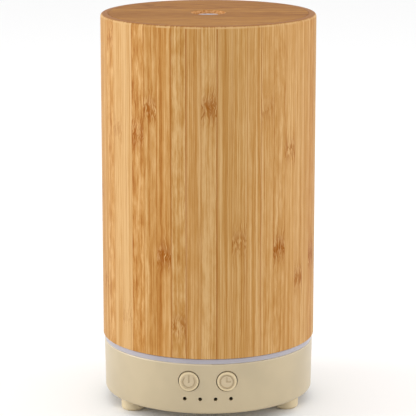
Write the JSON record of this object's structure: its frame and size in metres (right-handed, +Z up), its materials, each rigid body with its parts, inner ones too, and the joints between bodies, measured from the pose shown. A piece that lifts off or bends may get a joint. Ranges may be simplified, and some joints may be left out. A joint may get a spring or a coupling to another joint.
{
  "type": "essential oil diffuser",
  "caption": "Ultrasonic essential oil diffuser: lift-off bamboo sleeve cover over an inner cover and water tank, on a round cream base with push buttons and short feet.",
  "frame": {"origin": "middle of the footprint, on the surface that the feet stand on", "axes": "+Z up, front with the buttons towards -Y, +X to the right seen from the front"},
  "size_m": [0.085, 0.085, 0.157],
  "materials": {
    "bamboo": "satin, vertical laminated strips with nodes",
    "bamboo_lid": "satin, fine straight grain",
    "white_plastic": "fine satin",
    "milky_plastic": "translucent, satin",
    "cream_plastic": "fine moulded texture",
    "cream_button": "fine satin",
    "cream_rubber": "matte",
    "clear_silicone": "soft, matte",
    "transducer_metal": "lapped disc with a ceramic back",
    "retainer_plastic": "moulded",
    "screw_steel": "zinc plated",
    "black_plastic": "moulded",
    "switch_black": "moulded",
    "board_green": "solder mask",
    "led_clear": "clear epoxy",
    "led_package": "white package with a phosphor window",
    "ferrite": "ferrite drum with enamelled copper winding",
    "capacitor_sleeve": "shrink sleeve with an aluminium top",
    "sink_aluminium": "extruded",
    "contact_metal": "plated",
    "connector_white": "moulded",
    "lead_red": "insulation",
    "lead_black": "insulation",
    "lead_white": "insulation"
  },
  "bodies": {
    "base": {"water_tank": "milky_plastic", "air_pipe": "white_plastic", "transducer_disc": "transducer_metal", "transducer_seal": "clear_silicone", "transducer_retainer": "retainer_plastic", "retainer_screws": "screw_steel", "base_housing": "cream_plastic", "bottom_cover": "cream_plastic", "foot_front_left": "cream_rubber", "foot_front_right": "cream_rubber", "foot_rear": "cream_rubber", "bottom_screws": "screw_steel", "tank_screws": "screw_steel", "power_switch": "switch_black", "timer_switch": "switch_black", "button_board": "board_green", "button_board_screws": "screw_steel", "indicator_led_1": "led_clear", "indicator_led_2": "led_clear", "indicator_led_3": "led_clear", "indicator_led_4": "led_clear", "main_board": "board_green", "board_screws": "screw_steel", "mood_led_1": "led_package", "mood_led_2": "led_package", "mood_led_3": "led_package", "mood_led_4": "led_package", "mood_led_5": "led_package", "mood_led_6": "led_package", "driver_inductor": "ferrite", "capacitor_large": "capacitor_sleeve", "capacitor_small": "capacitor_sleeve", "microcontroller": "black_plastic", "driver_transistor": "black_plastic", "heat_sink": "sink_aluminium", "dc_jack": "black_plastic", "dc_jack_pin": "contact_metal", "fan_frame": "black_plastic", "fan_screws": "screw_steel", "fan_connector": "connector_white", "fan_lead": "lead_red", "transducer_connector": "connector_white", "transducer_lead": "lead_black", "button_connector": "connector_white", "button_lead": "lead_white"},
    "inner_cover": {"inner_cover": "white_plastic"},
    "bamboo_cover": {"bamboo_sleeve": "bamboo", "bamboo_top": "bamboo_lid"},
    "power_button": {"power_button": "cream_button", "power_plunger": "switch_black"},
    "timer_button": {"timer_button": "cream_button", "timer_plunger": "switch_black"},
    "fan_rotor": {"fan_rotor": "black_plastic"}
  },
  "joints": [
    {"name": "inner_cover_lift", "type": "slide", "parent": "base", "child": "inner_cover", "axis": [0, 0, 1], "range_m": [0, 0.1]},
    {"name": "bamboo_cover_lift", "type": "slide", "parent": "inner_cover", "child": "bamboo_cover", "axis": [0, 0, 1], "range_m": [0, 0.135]},
    {"name": "power_button_press", "type": "slide", "parent": "base", "child": "power_button", "axis": [0, 1, 0], "range_m": [0, 0.0005], "stiffness_N_per_m": 1500, "springref_m": -0.0002},
    {"name": "timer_button_press", "type": "slide", "parent": "base", "child": "timer_button", "axis": [0, 1, 0], "range_m": [0, 0.0005], "stiffness_N_per_m": 1500, "springref_m": -0.0002},
    {"name": "fan_spin", "type": "hinge", "parent": "base", "child": "fan_rotor", "pos_m": [0, 0, 0.0128], "axis": [0, 0, 1], "continuous": true}
  ]
}
